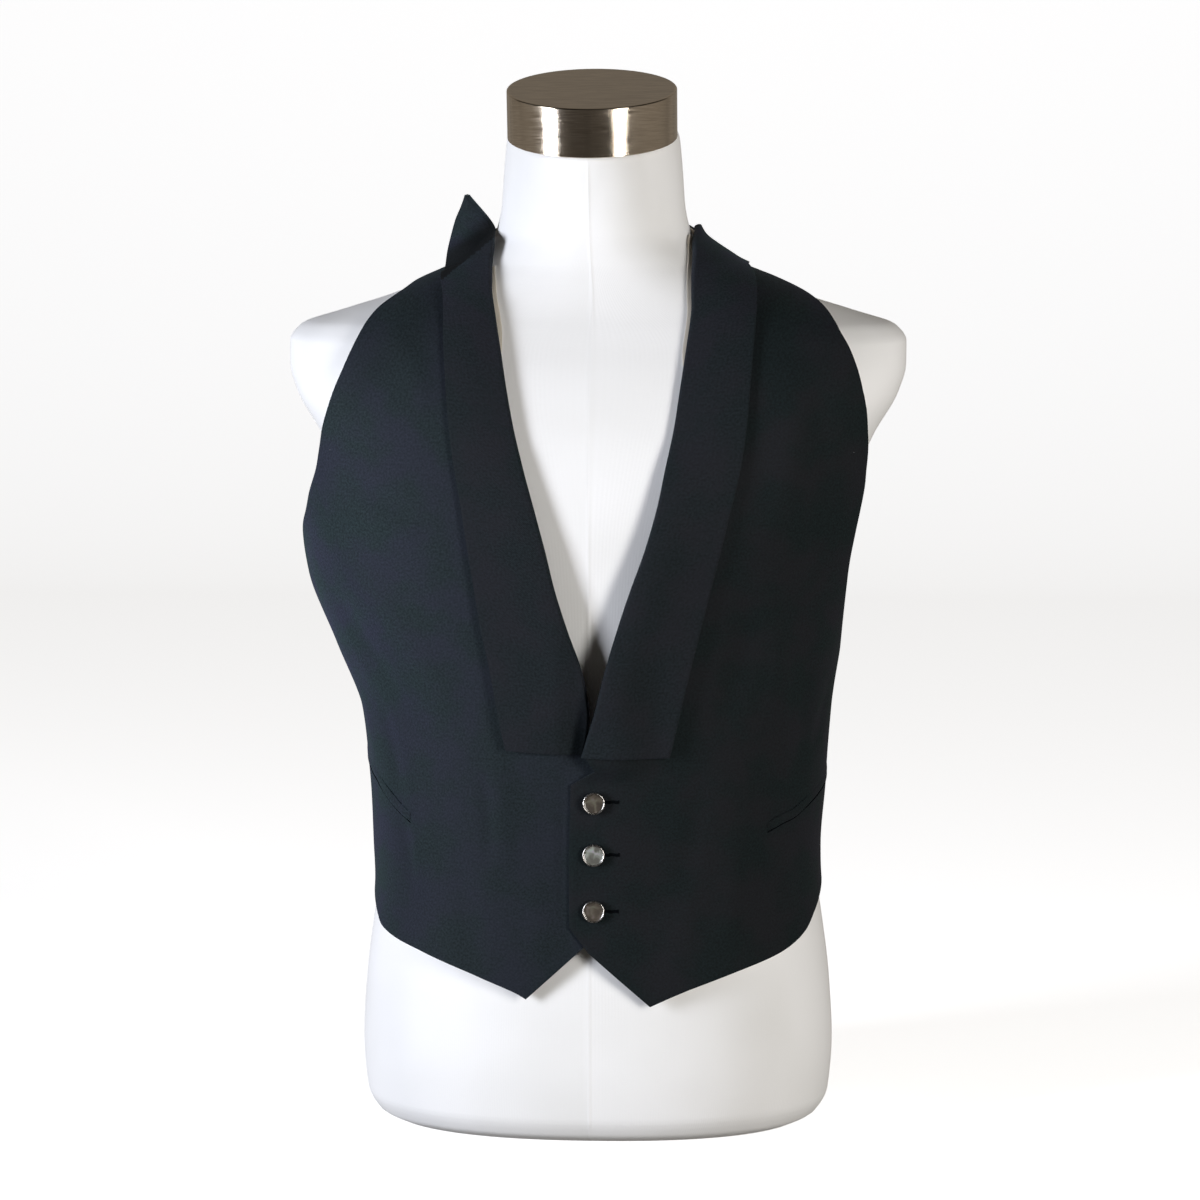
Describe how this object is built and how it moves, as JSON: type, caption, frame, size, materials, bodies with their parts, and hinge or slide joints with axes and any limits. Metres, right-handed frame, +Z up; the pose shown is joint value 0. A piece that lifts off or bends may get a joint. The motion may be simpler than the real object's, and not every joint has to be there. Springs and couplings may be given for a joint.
{
  "type": "backless evening waistcoat on a dress form",
  "caption": "Backless evening waistcoat with shawl lapels, slanted pocket welts, a pointed hem, a neck band and a waist strap, buttoned on a limbless dress form.",
  "frame": {"origin": "on the standing plane, under the middle of the bounding box", "axes": "+Z up along the body, the waistcoat's buttoned front towards -Y, +X towards the wearer's left (the viewer's right)"},
  "size_m": [0.443, 0.2544, 0.7586],
  "materials": {
    "black_worsted": "black fine worsted wool, matt with a soft sheen",
    "cream_lining": "cream satin lining",
    "white_jersey": "white stretch jersey over a firm form",
    "brushed_nickel": "brushed nickel",
    "smoky_pearl": "polished smoky mother-of-pearl with a paler rim",
    "nickel_plate": "nickel plate"
  },
  "bodies": {
    "root": {"front_right": "black_worsted", "front_left": "black_worsted", "lapel_right": "black_worsted", "lapel_left": "black_worsted", "neck_band": "black_worsted", "neck_band_lining": "cream_lining", "pocket_welt_right": "black_worsted", "pocket_welt_left": "black_worsted", "waist_strap_right": "black_worsted", "waist_strap_left": "black_worsted", "strap_slide": "nickel_plate", "button_1": "smoky_pearl", "button_2": "smoky_pearl", "button_3": "smoky_pearl", "dress_form": "white_jersey", "neck_cap": "brushed_nickel"}
  },
  "joints": []
}
